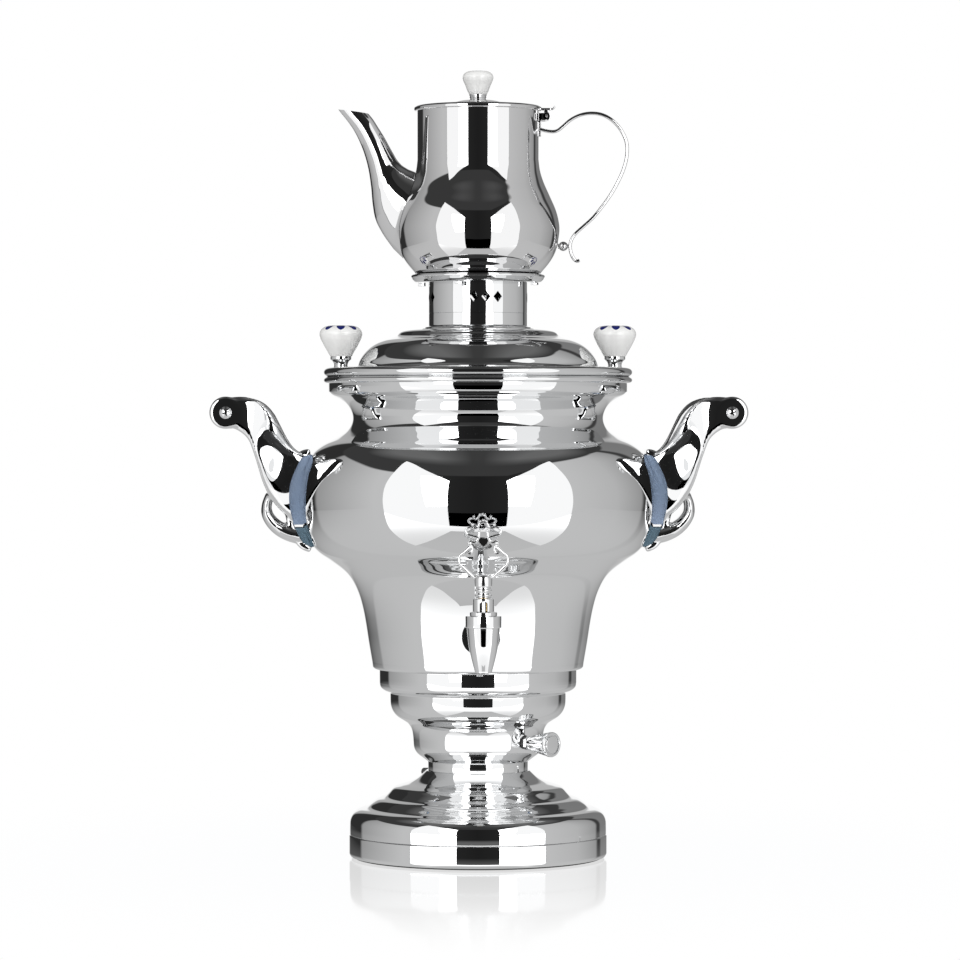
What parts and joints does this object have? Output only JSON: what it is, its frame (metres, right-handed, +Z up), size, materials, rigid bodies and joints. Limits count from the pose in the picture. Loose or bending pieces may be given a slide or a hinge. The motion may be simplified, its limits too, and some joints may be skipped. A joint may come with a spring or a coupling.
{
  "type": "electric tea samovar with a teapot",
  "caption": "Electric tea samovar: waisted water tank on a pedestal base, plug tap with an openwork key, side handles, lift-off lid, pot stand and a metal teapot.",
  "frame": {"origin": "on the samovar's vertical axis, at the level of the table that its foot rests on", "axes": "+Z up; -Y towards the tap; +X towards the teapot's handle, with the spout towards -X"},
  "size_m": [0.346, 0.2576, 0.5106],
  "materials": {
    "chromed_sheet": "bright mirror chrome on thin spun sheet",
    "chromed_casting": "bright chrome on polished castings and turned parts",
    "polished_pot_steel": "mirror-polished stainless steel",
    "plain_steel": "satin steel",
    "cast_aluminium": "as cast and faced",
    "brass_fittings": "turned and lapped",
    "glazed_ceramic": "white glazed ceramic with blue petals round the shoulder",
    "plain_ceramic": "unglazed white ceramic",
    "blue_gasket": "matte grey-blue heat-proof rubber",
    "black_rubber": "matte black rubber",
    "black_paint": "matte black heat-proof paint",
    "black_plastic": "matte black moulded plastic"
  },
  "bodies": {
    "samovar": {"foot_ring": "black_rubber", "base_pan": "black_paint", "base_band": "chromed_sheet", "base_cover": "chromed_sheet", "cord_gland": "black_plastic", "neck_collar": "chromed_sheet", "lower_housing": "chromed_sheet", "tie_rod": "plain_steel", "tie_nuts": "plain_steel", "heater_plate": "cast_aluminium", "heating_element": "plain_steel", "thermal_cutout": "black_plastic", "terminal_block": "plain_ceramic", "thermostat_body": "black_plastic", "thermostat_grommet": "black_rubber", "thermostat_nut": "chromed_casting", "tank_cone": "chromed_sheet", "tank_bowl": "chromed_sheet", "tank_shoulder": "chromed_sheet", "tank_neck": "chromed_sheet", "tank_bottom": "plain_steel", "handle_gasket_left": "blue_gasket", "handle_gasket_right": "blue_gasket", "handle_bracket_left": "chromed_casting", "handle_bracket_right": "chromed_casting", "handle_grip_left": "chromed_casting", "handle_grip_right": "chromed_casting", "grip_screws": "chromed_casting", "handle_bolts": "plain_steel", "handle_washers": "black_rubber", "tap_body": "chromed_casting", "tap_seals": "black_rubber", "tap_locknut": "brass_fittings", "tap_bonnet": "chromed_casting", "tap_stop_pin": "chromed_casting"},
    "tap_turner": {"tap_plug": "brass_fittings", "tap_key": "chromed_casting"},
    "dial": {"thermostat_spindle": "plain_steel", "thermostat_knob": "chromed_casting", "thermostat_cap": "chromed_casting"},
    "tank_lid": {"lid_shell": "chromed_sheet", "lid_skirt": "plain_steel", "lid_tube": "chromed_sheet", "lid_knob_left": "glazed_ceramic", "lid_knob_right": "glazed_ceramic", "lid_ferrules": "chromed_casting", "lid_screws": "plain_steel"},
    "pot_stand": {"stand_tube": "chromed_sheet", "stand_saucer": "chromed_sheet"},
    "teapot": {"pot_body": "polished_pot_steel", "pot_spout": "polished_pot_steel", "pot_handle": "polished_pot_steel", "pot_handle_stud": "polished_pot_steel", "pot_hinge_bracket": "polished_pot_steel", "pot_hinge_pin": "plain_steel"},
    "teapot_lid": {"pot_lid": "polished_pot_steel", "pot_lid_tab": "polished_pot_steel", "pot_lid_knob": "glazed_ceramic", "pot_lid_ferrule": "chromed_casting", "pot_lid_screw": "plain_steel"}
  },
  "joints": [
    {"name": "tap_turn", "type": "hinge", "parent": "samovar", "child": "tap_turner", "pos_m": [0, -0.13, 0.16], "axis": [0, 0, 1], "range_deg": [0, 90]},
    {"name": "dial_turn", "type": "hinge", "parent": "samovar", "child": "dial", "pos_m": [0.0396, -0.0396, 0.0765], "axis": [0.7071, -0.7071, 0], "range_deg": [0, 270]},
    {"name": "lid_lift", "type": "slide", "parent": "samovar", "child": "tank_lid", "axis": [0, 0, 1], "range_m": [0, 0.15]},
    {"name": "stand_lift", "type": "slide", "parent": "tank_lid", "child": "pot_stand", "axis": [0, 0, 1], "range_m": [0, 0.06]},
    {"name": "pot_lift", "type": "slide", "parent": "pot_stand", "child": "teapot", "axis": [0, 0, 1], "range_m": [0, 0.1]},
    {"name": "pot_lid_hinge", "type": "hinge", "parent": "teapot", "child": "teapot_lid", "pos_m": [0.0443, 0, 0.481], "axis": [0, 1, 0], "range_deg": [0, 95]}
  ]
}
